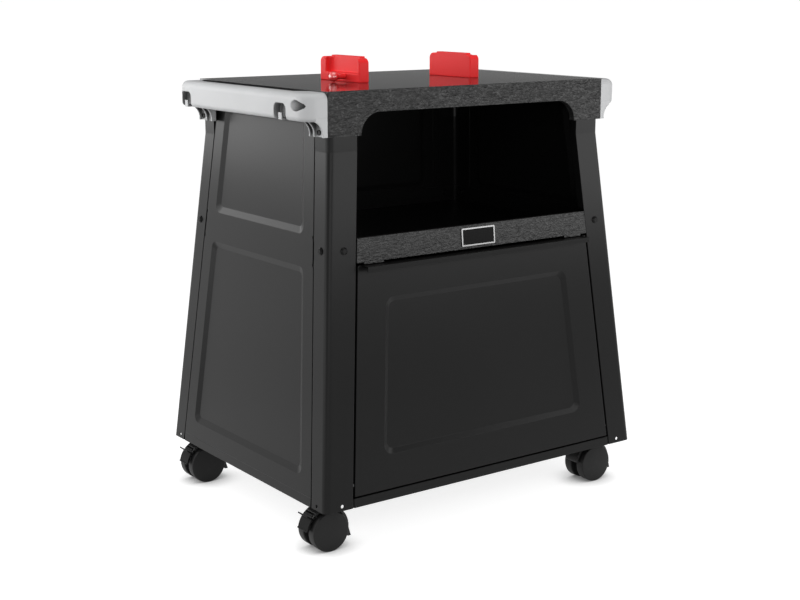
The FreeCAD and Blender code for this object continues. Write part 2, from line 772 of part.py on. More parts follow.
def hinge_axis():
    """Depth and height of the door's hinge line."""
    z = door_low() + HINGE_RISE
    return -splay_half_depth(z) + HINGE_INSET, z


def hinge_bore(side_x, radius):
    y, z = hinge_axis()
    middle = side_x * leg_inner_edge(z)
    half = DOOR_GAP + SHEET + HINGE_TAIL + OVERRUN
    return rod(radius, Vector(middle - half, y, z), Vector(middle + half, y, z))


def strip(edge, sign, low, high, width):
    """Outline of a narrow strip along one edge of the door."""
    points = [
        (sign * (edge(low) - width), low), (sign * edge(low), low),
        (sign * edge(high), high), (sign * (edge(high) - width), high)]
    return points if sign > 0 else points[::-1]


def door_panel():
    low, high = door_low(), door_high()
    sheet = on_face(FRONT, tapered(door_edge, low, high), 0, SHEET)
    returns = [
        on_face(FRONT, strip(door_edge, sign, low, high, SHEET), 0, DOOR_RETURN_DEPTH) for sign in (-1, 1)]
    head = on_face(FRONT, tapered(door_edge, high - SHEET, high), 0, DOOR_HEAD_RETURN)
    foot = on_face(FRONT, tapered(door_edge, low, low + SHEET), 0, DOOR_HEAD_RETURN)
    hollow, bulge = pressed_recess(
        FRONT, tapered(door_edge, low + DOOR_RECESS_MARGIN, high - DOOR_RECESS_MARGIN, DOOR_RECESS_MARGIN),
        DOOR_RECESS_CORNER, DOOR_RECESS_BEVEL, DOOR_RECESS_DEPTH, SHEET)
    door = fused([sheet, bulge, head, foot] + returns)
    holes = [hinge_bore(side_x, HINGE_PIN_RADIUS) for side_x in (-1, 1)]
    return door.cut(Part.makeCompound([hollow] + holes))


def door_pull():
    """The folded ledge along the door's top edge."""
    high = door_high()
    face = -splay_half_depth(high)
    reach = face - DOOR_PULL_REACH
    ledge = box(-DOOR_PULL_HALF, DOOR_PULL_HALF, reach, face + OVERRUN, high - SHEET, high)
    drop = box(-DOOR_PULL_HALF, DOOR_PULL_HALF, reach, reach + SHEET, high - DOOR_PULL_DROP, high)
    margin = DOOR_PULL_DROP + OVERRUN
    behind = on_face(FRONT, tapered(door_edge, high - margin, high + margin), 0, 2 * OVERRUN)
    return fused([ledge, drop]).cut(behind)


def hinge_pins():
    """Pins fixed in the door's sides, turning in the holes of the front legs."""
    y, z = hinge_axis()
    tail = door_edge(z) - SHEET - HINGE_TAIL
    head = leg_inner_edge(z) + SHEET + SLOPE_X * HINGE_HEAD_RADIUS + HINGE_HEAD_GAP
    pins = []
    for side_x in (-1, 1):
        spans = [
            (HINGE_PIN_RADIUS, tail, head),
            (HINGE_HEAD_RADIUS, head, head + HINGE_HEAD_THICKNESS)]
        pins.append(fused([
            rod(radius, Vector(side_x * start, y, z), Vector(side_x * end, y, z))
            for radius, start, end in spans]))
    return Part.makeCompound(pins)


def door_catches():
    """Magnet blocks under the crossbar's lower lip, above the door's folded head."""
    middle = (CROSSBAR_TAB_INNER + CROSSBAR_TAB_OUTER) / 2
    low, high = CROSSBAR_LOW - CATCH_HEIGHT, CROSSBAR_LOW
    blocks = []
    for sign in (-1, 1):
        x0, x1 = sign * middle - CATCH_WIDTH / 2, sign * middle + CATCH_WIDTH / 2
        outline = [(x0, low), (x1, low), (x1, high), (x0, high)]
        blocks.append(on_face(FRONT, outline, CROSSBAR_LIP - CATCH_DEPTH, CROSSBAR_LIP))
    return Part.makeCompound(blocks)


# Handles


def handle_top():
    return TOP_HEIGHT - HANDLE_DROP


def handle_foot():
    return handle_top() - HANDLE_HEIGHT


def handle_plan(points, arcs):
    """A block with an outline from above, given as corner points and arcs through middle points."""
    z0, z1 = handle_foot(), handle_top()
    edges = []
    for i, point in enumerate(points):
        ahead = points[(i + 1) % len(points)]
        start, end = Vector(point[0], point[1], z0), Vector(ahead[0], ahead[1], z0)
        if i in arcs:
            edges.append(Part.Arc(start, Vector(arcs[i][0], arcs[i][1], z0), end).toShape())
        else:
            edges.append(Part.LineSegment(start, end).toShape())
    return prism(Part.Wire(edges), Vector(0, 0, z1 - z0))


def handle_block():
    """The outer form of the left handle, with round corners and well rounded outer edges."""
    half = PLATE_DEPTH / 2
    outer, inner = -HANDLE_OUTER, -PLATE_WIDTH / 2
    front, rear = HANDLE_FRONT_RADIUS, HANDLE_REAR_RADIUS
    turn = 1 - math.sqrt(0.5)
    points = [
        (inner, -half), (inner, half), (outer + rear, half),
        (outer, half - rear), (outer, -half + front), (outer + front, -half)]
    arcs = {
        2: (outer + rear * turn, half - rear * turn),
        4: (outer + front * turn, -half + front * turn)}
    block = handle_plan(points, arcs)
    for level, radius in ((handle_top(), HANDLE_TOP_RADIUS), (handle_foot(), HANDLE_FOOT_RADIUS)):
        rim = [
            edge for edge in block.Edges
            if abs(edge.CenterOfMass.z - level) < FLAT and edge.BoundBox.XMin < inner - OVERRUN]
        block = block.makeFillet(radius, rim)
    return block


def finger_gap():
    """The gap between the rail and the plate's edge, narrowing to a point at both ends."""
    half = PLATE_DEPTH / 2
    rail, inner = -HANDLE_OUTER + HANDLE_THICKNESS, -PLATE_WIDTH / 2
    taper = inner - rail
    front, rear = -half + HANDLE_FRONT_LENGTH, half - HANDLE_REAR_LENGTH
    points = [(inner, front), (inner, rear), (rail, rear - taper), (rail, front + taper)]
    return handle_plan(points, {})


def hook_slot(place):
    """A slot in the rail's outer face that is open below, and the hook that stands in it."""
    outer = -HANDLE_OUTER
    foot = handle_foot()
    half = HOOK_SLOT_WIDTH / 2
    back = outer + HOOK_SLOT_DEPTH
    head = foot + HOOK_SLOT_HEIGHT
    corner = HOOK_SLOT_CORNER
    turn = corner * (1 - math.sqrt(0.5))

    sill = foot - OVERRUN

    def at(y, z):
        return Vector(outer - OVERRUN, place + y, z)

    edges = [
        Part.LineSegment(at(-half, sill), at(half, sill)),
        Part.LineSegment(at(half, sill), at(half, head - corner)),
        Part.Arc(at(half, head - corner), at(half - turn, head - turn), at(half - corner, head)),
        Part.LineSegment(at(half - corner, head), at(-half + corner, head)),
        Part.Arc(at(-half + corner, head), at(-half + turn, head - turn), at(-half, head - corner)),
        Part.LineSegment(at(-half, head - corner), at(-half, sill))]
    slot = prism(Part.Wire([edge.toShape() for edge in edges]), Vector(HOOK_SLOT_DEPTH + OVERRUN, 0, 0))
    half_hook = HOOK_WIDTH / 2
    tip_x = outer + HOOK_INSET
    hook = fused([
        box(tip_x, back, place - half_hook, place + half_hook, foot, foot + HOOK_THICKNESS),
        box(tip_x, tip_x + HOOK_THICKNESS, place - half_hook, place + half_hook, foot, foot + HOOK_HEIGHT)])
    return slot, hook


def gusset_rib(y0, y1):
    """A rib under a handle's end, hollowed in a curve from the rail down to the leg."""
    x_inner = -PLATE_WIDTH / 2
    high = handle_foot()
    low = high - GUSSET_HEIGHT
    start = Vector(x_inner - GUSSET_REACH, y0, high)
    end = Vector(x_inner - GUSSET_FOOT, y0, low)
    chord = end.sub(start)
    hollow = Vector(-chord.z, 0, chord.x) * (GUSSET_HOLLOW / chord.Length)
    edges = [
        Part.LineSegment(Vector(x_inner, y0, low), Vector(x_inner, y0, high)),
        Part.LineSegment(Vector(x_inner, y0, high), start),
        Part.Arc(start, (start + end) / 2 + hollow, end),
        Part.LineSegment(end, Vector(x_inner, y0, low))]
    return prism(Part.Wire([edge.toShape() for edge in edges]), Vector(0, y1 - y0, 0))


def gusset_ribs(sign):
    """Front faces of the ribs under one end of the handle, from its end inwards."""
    half = PLATE_DEPTH / 2
    bay = GUSSET_SCREW_BAY
    if sign < 0:
        return [-half, -half + bay, -half + bay + GUSSET_FRONT_BAY]
    outer = half - GUSSET_REAR_INSET - GUSSET_RIB
    return [outer, outer - bay, outer - bay - GUSSET_REAR_BAY]


def gusset(sign):
    """Ribs, the web between them, which is screwed to the leg, and the floor that carries them."""
    places = gusset_ribs(sign)
    start, end = min(places), max(places) + GUSSET_RIB
    x_inner = -PLATE_WIDTH / 2
    x_rail = -HANDLE_OUTER + HANDLE_THICKNESS - HANDLE_EDGE_RADIUS
    high = handle_foot()
    low = high - GUSSET_HEIGHT
    pieces = [gusset_rib(y, y + GUSSET_RIB) for y in places]
    pieces += [
        box(x_inner - GUSSET_WEB, x_inner, start, end, low, high),
        box(x_rail, x_inner, start, end, high, high + GUSSET_FLOOR)]
    if sign > 0:
        leg_end = LEG_TOP_DEPTH / 2
        inner, outer = leg_end - LEG_SIDE_WIDTH, leg_end - LEG_CORNER_RADIUS
        pieces.append(box(x_inner, -LEG_TOP_WIDTH / 2, inner, outer, low, high))
    return pieces


def gusset_screw_places():
    place = PLATE_DEPTH / 2 - GUSSET_SCREW_INSET
    z = handle_foot() - GUSSET_SCREW_DROP
    return [(-place, z), (place, z)]


def pocket_run():
    """Mouth, floor and direction of the slanted screw pocket near the front end of the rail."""
    angle = math.radians(POCKET_ANGLE)
    z = handle_foot() + POCKET_RISE
    mouth = Vector(-HANDLE_OUTER, POCKET_PLACE, z)
    direction = Vector(math.sin(angle), -math.cos(angle), 0)
    outside = POCKET_RADIUS / math.tan(angle) + OVERRUN
    return mouth.sub(direction * outside), mouth.add(direction * POCKET_DEPTH), direction


def left_handle():
    solid = fused([handle_block().cut(finger_gap())] + gusset(-1) + gusset(1))
    start, end, _ = pocket_run()
    cuts = [rod(POCKET_RADIUS, start, end)]
    hooks = []
    for place in (HOOK_FRONT_PLACE, HOOK_REAR_PLACE):
        slot, hook = hook_slot(place)
        cuts.append(slot)
        hooks.append(hook)
    for y, z in gusset_screw_places():
        x = -PLATE_WIDTH / 2
        ends = Vector(x - GUSSET_WEB - OVERRUN, y, z), Vector(x + OVERRUN, y, z)
        cuts.append(rod(SCREW_RADIUS + HOLE_CLEARANCE, *ends))
    for cut in cuts:
        solid = solid.cut(cut)
    return fused([solid] + hooks)


def left_handle_screws():
    """Pan-head screws through the gussets into the leg, and the one in the slanted pocket."""
    face = -PLATE_WIDTH / 2 - GUSSET_WEB
    screws = []
    for y, z in gusset_screw_places():
        screws.append(fused([
            rod(SCREW_HEAD_RADIUS, Vector(face - SCREW_HEAD_HEIGHT, y, z), Vector(face, y, z)),
            rod(SCREW_RADIUS, Vector(face, y, z), Vector(-LEG_TOP_WIDTH / 2, y, z))]))
    _, end, direction = pocket_run()
    screws.append(rod(SCREW_HEAD_RADIUS, end.sub(direction * SCREW_HEAD_HEIGHT), end))
    return Part.makeCompound(screws)


# Grill locks


def lock_axis():
    return PLUNGER_PLACE, TOP_HEIGHT + PLUNGER_HEIGHT


def left_lock():
    x0, x1 = -LOCK_OUTER, -LOCK_OUTER + LOCK_THICKNESS
    y0, y1 = LOCK_FRONT, LOCK_FRONT + LOCK_LENGTH
    z0, z1 = TOP_HEIGHT, TOP_HEIGHT + LOCK_HEIGHT
    shoulder = z1 - LOCK_SHOULDER
    block = box(x0, x1, y0, y1, z0, shoulder)
    edges = [
        edge for edge in block.Edges
        if abs(edge.BoundBox.ZMin - shoulder) < FLAT and edge.BoundBox.YLength < FLAT]
    block = block.makeFillet(LOCK_CORNER, edges)
    upright = [
        edge for edge in block.Edges
        if edge.BoundBox.ZLength > LOCK_HEIGHT / 2 and edge.BoundBox.XLength < FLAT]
    block = block.makeFillet(LOCK_EDGE, upright)
    cap = box(x0, x1, y0 + LOCK_FRONT_SHOULDER, y1 - LOCK_REAR_SHOULDER, shoulder - LOCK_SHOULDER, z1)
    block = fused([block, cap])
    outside, back, above = x0 - OVERRUN, x0 + LOCK_POCKET_DEPTH, z1 + OVERRUN
    pocket = box(outside, back, y0 + LOCK_FRONT_RIB, y1 - LOCK_RIB, z0 + LOCK_LEDGE, above)
    y, z = lock_axis()
    bore_end = Vector(x0 + PLUNGER_BORE_DEPTH, y, z)
    bore = rod(PLUNGER_RADIUS + RUNNING_CLEARANCE, Vector(outside, y, z), bore_end)
    cuts = [pocket, bore]
    for screw_y in lock_screw_places():
        foot = Vector((x0 + x1) / 2, screw_y, z0)
        cuts.append(rod(SCREW_RADIUS, foot, foot.add(UP * LOCK_SCREW_DEPTH)))
    return block.cut(Part.makeCompound(cuts))


def left_plunger():
    """Ball knob, collar and shaft of the spring plunger."""
    y, z = lock_axis()
    face = -LOCK_OUTER
    ball = Vector(face - PLUNGER_BALL_REACH, y, z)
    shaft_end = Vector(face + PLUNGER_BORE_DEPTH - PLUNGER_END_GAP, y, z)
    return fused([
        Part.makeSphere(PLUNGER_BALL_RADIUS, ball),
        rod(PLUNGER_COLLAR_RADIUS, ball, Vector(face - PLUNGER_COLLAR_GAP, y, z)),
        rod(PLUNGER_RADIUS, ball, shaft_end)])


def lock_screw_places():
    return LOCK_FRONT + LOCK_SCREW_INSET, LOCK_FRONT + LOCK_LENGTH - LOCK_SCREW_INSET


def lock_screw_feet():
    """Where the screws meet the underside of the top plate."""
    middle = LOCK_OUTER - LOCK_THICKNESS / 2
    return [Vector(sign * middle, y, PLATE_UNDERSIDE) for sign in (-1, 1) for y in lock_screw_places()]


def lock_screws():
    """Screws up through the top plate that hold the two locks down."""
    return Part.makeCompound([
        fused([
            rod(SCREW_HEAD_RADIUS, foot.sub(UP * SCREW_HEAD_HEIGHT), foot),
            rod(SCREW_RADIUS, foot, foot.add(UP * (SHEET + LOCK_SCREW_DEPTH)))])
        for foot in lock_screw_feet()])


def lock_screw_holes():
    return Part.makeCompound([
        rod(SCREW_RADIUS + HOLE_CLEARANCE, foot.sub(UP * OVERRUN), foot.add(UP * (SHEET + OVERRUN)))
        for foot in lock_screw_feet()])


# Casters


def caster_places():
    """Stem positions: front left, front right, rear left, rear right."""
    half_x = LEG_FOOT_WIDTH / 2 - CASTER_INSET_X
    half_y = LEG_FOOT_DEPTH / 2 - CASTER_INSET_Y
    return [(side_x * half_x, side_y * half_y) for side_y in (-1, 1) for side_x in (-1, 1)]


def polar(radius, angle, y):
    """A point by its distance and angle round the wheel axis, measured up from +X."""
    turn = math.radians(angle)
    return Vector(radius * math.cos(turn), y, radius * math.sin(turn))


def arc_slab(inner, outer, start, end, y0, y1):
    """A curved plate round the wheel axis, between two angles."""
    middle = (start + end) / 2
    edges = [
        Part.Arc(polar(outer, start, y0), polar(outer, middle, y0), polar(outer, end, y0)),
        Part.LineSegment(polar(outer, end, y0), polar(inner, end, y0)),
        Part.Arc(polar(inner, end, y0), polar(inner, middle, y0), polar(inner, start, y0)),
        Part.LineSegment(polar(inner, start, y0), polar(outer, start, y0))]
    return prism(Part.Wire([edge.toShape() for edge in edges]), Vector(0, y1 - y0, 0))


def hood_inner():
    return WHEEL_RADIUS + HOOD_CLEARANCE


def hood_outer():
    return hood_inner() + HOOD_WALL


def hood_top():
    return hood_outer() + HOOD_CROWN


def hood_toe():
    """The low end of the hood, which flares away from the wheel down to a flat foot."""
    y = -HOOD_HALF_WIDTH
    points = [
        polar(hood_outer(), HOOD_FLARE_ANGLE, y),
        Vector(HOOD_TOE_REACH, y, -HOOD_TOE_DROP),
        Vector(HOOD_TOE_REACH - HOOD_TOE_THICKNESS, y, -HOOD_TOE_DROP),
        polar(hood_inner(), HOOD_FLARE_ANGLE, y)]
    return prism(Part.makePolygon(points + points[:1]), Vector(0, 2 * HOOD_HALF_WIDTH, 0))


def web_shape(rear_angle):
    """The plate between the wheels, from the hub up to the hood."""
    y = -HOOD_WEB / 2
    radius = hood_inner() + HOOD_WALL / 2
    start, end = HOOD_FLARE_ANGLE, rear_angle
    toe = Vector(HOOD_TOE_REACH - HOOD_TOE_THICKNESS / 2, y, -HOOD_TOE_DROP)
    hub = [polar(HUB_RADIUS, angle, y) for angle in (HUB_REAR_ANGLE, HUB_FOOT_ANGLE, HUB_FRONT_ANGLE)]
    edges = [
        Part.Arc(polar(radius, start, y), polar(radius, (start + end) / 2, y), polar(radius, end, y)),
        Part.LineSegment(polar(radius, end, y), hub[0]),
        Part.Arc(*hub),
        Part.LineSegment(hub[2], toe),
        Part.LineSegment(toe, polar(radius, start, y))]
    return prism(Part.Wire([edge.toShape() for edge in edges]), Vector(0, HOOD_WEB, 0))


def hood(braked):
    """Swivel body of a caster, drawn with its wheel axis through the origin."""
    rear = HOOD_BRAKE_ANGLE if braked else HOOD_REAR_ANGLE
    half = HOOD_HALF_WIDTH
    foot = Vector(CASTER_TRAIL, 0, PINTLE_FOOT_HEIGHT - WHEEL_RADIUS)
    head = Vector(CASTER_TRAIL, 0, hood_top())
    boss = rod(STEM_BOSS_RADIUS, foot, head).cut(rod(hood_inner(), Vector(0, -half, 0), Vector(0, half, 0)))
    solid = fused([
        arc_slab(hood_inner(), hood_outer(), HOOD_FLARE_ANGLE, rear, -half, half),
        hood_toe(), web_shape(rear), boss])
    if braked:
        solid = fused([solid] + pedal_lugs()).cut(pedal_rod(PEDAL_PIN_RADIUS, half))
    return solid.cut(Part.makeCompound([
        rod(AXLE_RADIUS, Vector(0, -half, 0), Vector(0, half, 0)),
        rod(PINTLE_RADIUS + RUNNING_CLEARANCE, foot, head.add(UP))]))


def pedal_lugs():
    """Two ears of the hood, which hold the pedal's pin."""
    inner, outer = hood_inner(), hood_outer()
    y = PEDAL_KNUCKLE_HALF_WIDTH + PEDAL_SIDE_GAP
    root = (HOOD_FLARE_ANGLE + HOOD_BRAKE_ANGLE) / 2
    return [
        arc_slab(inner, outer, root, PEDAL_LUG_ANGLE, y, HOOD_HALF_WIDTH),
        arc_slab(inner, outer, root, PEDAL_LUG_ANGLE, -HOOD_HALF_WIDTH, -y)]


def pedal_axis():
    return polar(hood_inner() + HOOD_WALL / 2, PEDAL_PIN_ANGLE, 0)


def pedal_rod(radius, half_length):
    centre = pedal_axis()
    return rod(radius, centre.sub(Vector(0, half_length, 0)), centre.add(Vector(0, half_length, 0)))


def pedal():
    """The brake pedal: a curved plate hung on its pin, with a ledge to step on and a lip at its end."""
    half, narrow = HOOD_HALF_WIDTH, PEDAL_KNUCKLE_HALF_WIDTH
    inner, outer = PEDAL_INNER_RADIUS, PEDAL_INNER_RADIUS + PEDAL_WALL
    ledge_half_angle = math.degrees(PEDAL_EAR_THICKNESS / 2 / outer)

    def ledge(angle, reach):
        thickness = PEDAL_EAR_THICKNESS
        plate = box(inner + PEDAL_WALL / 2, outer + reach, -half, half, -thickness / 2, thickness / 2)
        plate.rotate(Vector(0, 0, 0), Vector(0, 1, 0), -angle)
        return plate

    solid = fused([
        pedal_rod(PEDAL_KNUCKLE_RADIUS, narrow),
        arc_slab(inner, outer, PEDAL_PIN_ANGLE, PEDAL_PLATE_ANGLE, -narrow, narrow),
        arc_slab(inner, outer, PEDAL_PLATE_ANGLE, PEDAL_END_ANGLE, -half, half),
        ledge(PEDAL_PLATE_ANGLE + ledge_half_angle, PEDAL_EAR),
        ledge(PEDAL_END_ANGLE - ledge_half_angle, PEDAL_LIP)])
    return solid.cut(pedal_rod(PEDAL_PIN_RADIUS + RUNNING_CLEARANCE, half))


def wheel(sign):
    """One wheel of a pair, with a domed outer face and a blind bore for the axle."""
    y0, y1 = WHEEL_GAP, WHEEL_GAP + WHEEL_WIDTH
    radius, edge = WHEEL_RADIUS, WHEEL_EDGE
    rim = radius - edge
    dome_radius = (rim ** 2 + WHEEL_DOME ** 2) / (2 * WHEEL_DOME)
    dome = Part.makeSphere(dome_radius, Vector(0, y1 + WHEEL_DOME - dome_radius, 0))
    axis = Vector(0, 1, 0)
    disc = Part.makeCylinder(radius, WHEEL_WIDTH, Vector(0, y0, 0), axis)
    disc = disc.makeFillet(edge, [rim_edge for rim_edge in disc.Edges if rim_edge.BoundBox.YLength < FLAT])
    cap = Part.makeCylinder(rim, WHEEL_DOME + 1, Vector(0, y1, 0), axis).common(dome)
    bore_end = AXLE_HALF_LENGTH + AXLE_END_GAP
    bore = Part.makeCylinder(AXLE_RADIUS + RUNNING_CLEARANCE, bore_end, Vector(0, 0, 0), axis)
    solid = fused([disc, cap]).cut(bore)
    return solid if sign > 0 else solid.mirror(Vector(0, 0, 0), axis)


def axle():
    return rod(AXLE_RADIUS, Vector(0, -AXLE_HALF_LENGTH, 0), Vector(0, AXLE_HALF_LENGTH, 0))


def collar_foot():
    return WHEEL_RADIUS + hood_top() + STEM_GAP


def stem():
    """The threaded stem, which ends below in the pintle that the hood turns on."""
    return fused([
        rod(PINTLE_RADIUS, UP * (PINTLE_FOOT_HEIGHT + STEM_GAP), UP * collar_foot()),
        rod(STEM_RADIUS, UP * collar_foot(), UP * (TRAY_TOP + STEM_NUT_HEIGHT + STEM_TIP))])


def stem_rings(radius, low, high):
    """One threaded ring on each caster's stem."""
    ring = rod(radius, UP * low, UP * high).cut(rod(STEM_RADIUS + HOLE_CLEARANCE, UP * low, UP * high))
    rings = []
    for x, y in caster_places():
        copy = ring.copy()
        copy.translate(Vector(x, y, 0))
        rings.append(copy)
    return Part.makeCompound(rings)


def caster(name, x, y, braked):
    """Nodes of one caster, standing at its stem's place and trailing to the left."""
    hub = Vector(x - CASTER_TRAIL, y, WHEEL_RADIUS)
    drawn = {
        "hood": hood(braked),
        "axle": axle(),
        "wheel_front": wheel(-1),
        "wheel_rear": wheel(1)}
    if braked:
        drawn["brake_pedal"] = pedal()
        drawn["pedal_pin"] = pedal_rod(PEDAL_PIN_RADIUS, HOOD_HALF_WIDTH)
    pieces = {}
    for piece, shape in drawn.items():
        shape.translate(hub)
        pieces["caster_" + name + "_" + piece] = shape
    post = stem()
    post.translate(Vector(x, y, 0))
    pieces["caster_" + name + "_stem"] = post
    return pieces


def build():
    """Every node of the cart by name."""
    nodes = {
        "leg_front_left": leg(-1, -1),
        "leg_front_right": leg(1, -1),
        "leg_rear_left": leg(-1, 1),
        "leg_rear_right": leg(1, 1),
        "leg_bolts": leg_bolts(),
        "top_plate": top_plate().cut(lock_screw_holes()),
        "front_fascia": front_fascia(),
        "side_panel_left": panel(LEFT),
        "side_panel_right": panel(RIGHT),
        "back_panel": panel(BACK),
        "middle_shelf": middle_shelf(),
        "front_crossbar": front_crossbar(),
        "badge_plate": badge_plate(),
        "bottom_tray": bottom_tray(),
        "door_panel": door_panel(),
        "door_pull": door_pull(),
        "door_hinge_pins": hinge_pins(),
        "door_catches": door_catches(),
        "lock_screws": lock_screws(),
        "caster_collars": stem_rings(STEM_COLLAR_RADIUS, collar_foot(), TRAY_TOP - SHEET),
        "caster_nuts": stem_rings(STEM_NUT_RADIUS, TRAY_TOP, TRAY_TOP + STEM_NUT_HEIGHT)}
    left_pieces = {
        "handle": left_handle(),
        "handle_screws": left_handle_screws(),
        "grill_lock": left_lock(),
        "lock_plunger": left_plunger()}
    for name, shape in left_pieces.items():
        nodes[name + "_left"] = shape
        nodes[name + "_right"] = mirrored(shape)
    names = ("front_left", "front_right", "rear_left", "rear_right")
    for name, (x, y) in zip(names, caster_places()):
        nodes.update(caster(name, x, y, braked=x < 0))
    return nodes


os.makedirs("parts", exist_ok=True)
for node, shape in build().items():
    shape.exportStep("parts/" + node + ".step")
    print(node, len(shape.Solids), "solids", round(shape.Volume), "mm3, valid:", shape.isValid())
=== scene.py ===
import json
import math

import bmesh
import bpy
from mathutils import Matrix, Vector

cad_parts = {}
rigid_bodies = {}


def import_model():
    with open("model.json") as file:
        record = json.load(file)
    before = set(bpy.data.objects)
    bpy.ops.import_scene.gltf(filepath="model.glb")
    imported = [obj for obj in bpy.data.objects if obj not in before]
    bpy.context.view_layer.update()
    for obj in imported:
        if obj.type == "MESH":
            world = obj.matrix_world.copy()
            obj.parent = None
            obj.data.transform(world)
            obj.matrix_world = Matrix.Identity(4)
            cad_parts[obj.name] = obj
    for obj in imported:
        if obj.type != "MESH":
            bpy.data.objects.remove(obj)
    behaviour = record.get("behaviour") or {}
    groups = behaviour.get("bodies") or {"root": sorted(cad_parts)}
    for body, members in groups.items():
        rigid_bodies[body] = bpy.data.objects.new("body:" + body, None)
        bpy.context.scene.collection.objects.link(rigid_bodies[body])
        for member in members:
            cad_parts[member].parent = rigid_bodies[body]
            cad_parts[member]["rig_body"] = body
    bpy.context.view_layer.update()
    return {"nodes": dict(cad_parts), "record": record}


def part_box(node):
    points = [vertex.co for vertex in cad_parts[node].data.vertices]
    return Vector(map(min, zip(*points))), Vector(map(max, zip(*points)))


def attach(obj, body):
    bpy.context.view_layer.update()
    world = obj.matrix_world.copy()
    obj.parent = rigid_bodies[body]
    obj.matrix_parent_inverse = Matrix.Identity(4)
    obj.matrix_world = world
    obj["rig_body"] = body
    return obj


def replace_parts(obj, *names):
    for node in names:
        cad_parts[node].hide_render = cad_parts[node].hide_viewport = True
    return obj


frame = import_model()

scene = bpy.context.scene
nodes = frame["nodes"]

MILLIMETRE = 0.001


def mm(value):
    return value * MILLIMETRE


# The view of the photograph
VIEW_YAW = math.radians(35.82)
VIEW_PITCH = math.radians(12.32)
VIEW_DISTANCE = 2.4596
VIEW_TARGET = Vector((-0.0008, 0.0007, 0.3208))
VIEW_REACH = 100.0
LENS_MM = 64.02
SENSOR_MM = 36.0

# Sockets of a Mix node that mixes colours
MIX_LOW = 6
MIX_HIGH = 7
MIX_RESULT = 2

# Rays that a node sends out to find edges, hollows and the object's contact with the floor
EDGE_SAMPLES = 4
HOLLOW_SAMPLES = 8
CONTACT_SAMPLES = 16

# Badge: width of the bright rim, and scales that draw its brush lines out sideways
BADGE_RIM = mm(2.2)
BRUSH_SCALES = (40.0, 1500.0, 1500.0)

# Hammered paint: scales that draw its pattern out sideways, and how much its dimples add to the relief
HAMMER_SCALES = (0.42, 1.0, 1.0)
DIMPLE_SHARE = 0.5

# How far round a spot the handles' plastic looks for walls that shade it
HANDLE_HOLLOW = mm(22.0)

# Share of the way to its neighbours that a point moves in each round of smoothing
SMOOTHING = 0.5

# Wheels: rounding of the tread's edges, rise of the domed face, radius of the bore, and facets round
WHEEL_EDGE = mm(1.8)
WHEEL_DOME = mm(1.6)
WHEEL_BORE = mm(4.05)
WHEEL_STEPS = 96
# The tread's outer edge stops short of a quarter turn, where it meets the dome
OUTER_EDGE_TURN = 75
ARC_STEPS = 5
# Where the dome has its rings, as shares of its radius
DOME_RINGS = (0.98, 0.9, 0.8, 0.7, 0.55, 0.4, 0.25, 0.1, 0.0)
# Points nearer than this are one point
WELD = 1e-7

# Beads of sealer: half their length, thickness and height, how full their corners are, and their waviness
BEAD_REACH = Vector((mm(3.4), mm(1.1), mm(2.6)))
BEAD_FULLNESS = 0.7
BEAD_WAVE = 0.08
BEAD_WAVE_X = 3.0
BEAD_WAVE_Z = 2.0
BEAD_SUBDIVISIONS = 3
# Heights just over and under the shelf's rim, each with the place of the back panel's edges and of the side
# panels' edges
SEALED = (
    (mm(476.9), (mm(230.1), mm(205.0)), (mm(279.7), mm(167.3))),
    (mm(445.4), (mm(232.9), mm(208.1)), (mm(282.5), mm(170.4))))

# Floor: size, white that it shows, shade that takes the shadow, and a painted contact shadow in its glow:
# its reach, the glow where it is darkest, and the openness at which it is darkest and at which it clears
FLOOR_REACH = 90.0
FLOOR_GLOW = 0.82
FLOOR_SHADE = 0.45
CONTACT_REACH = mm(45.0)
CONTACT_GLOW = 0.1
CONTACT_DARKEST = 0.2
CONTACT_CLEAR = 0.95

# Room: its light at the horizon and above, and the sines of the heights between which it changes
BACKDROP_LEVEL = 1.0
HORIZON_LEVEL = 1.0
SKY_LEVEL = 0.42
SKY_START = math.sin(math.radians(3.0))
SKY_FULL = math.sin(math.radians(12.0))
# Darker walls: direction, cosines to it at which a wall begins and is full, heights in degrees at which it
# begins and is full, and its level
WALLS = (
    ((-0.585, 0.811, 0.0), 0.20, 0.60, 25.0, 45.0, 0.42),
    ((0.585, 0.811, 0.0), 0.70, 0.88, 0.8, 2.8, 0.125))

# Lamps: name, place, the point that they face, width, height and power in watts
SOFTBOXES = (
    ("left_box", (-0.95, 0.59, 0.80), (-0.42, 0.0, 0.62), 1.35, 0.52, 6.0),
    ("back_left_wall", (-1.83, 1.05, 0.55), (-0.5, 0.0, 0.40), 3.44, 1.1, 4.0),
    ("right_box", (0.46, -1.07, 0.68), (0.0, -0.2, 0.60), 1.7, 0.46, 7.4),
    ("side_wall", (-2.60, 0.40, 0.19), (0.0, 0.1, 0.19), 1.7, 0.36, 4.2),
    ("overhead", (-0.3, -0.3, 2.4), (0.0, 0.0, 0.4), 1.8, 1.8, 15.0),
    ("front_box", (-1.7, -2.4, 1.1), (0.0, 0.0, 0.4), 1.4, 1.2, 15.0))


# Node trees


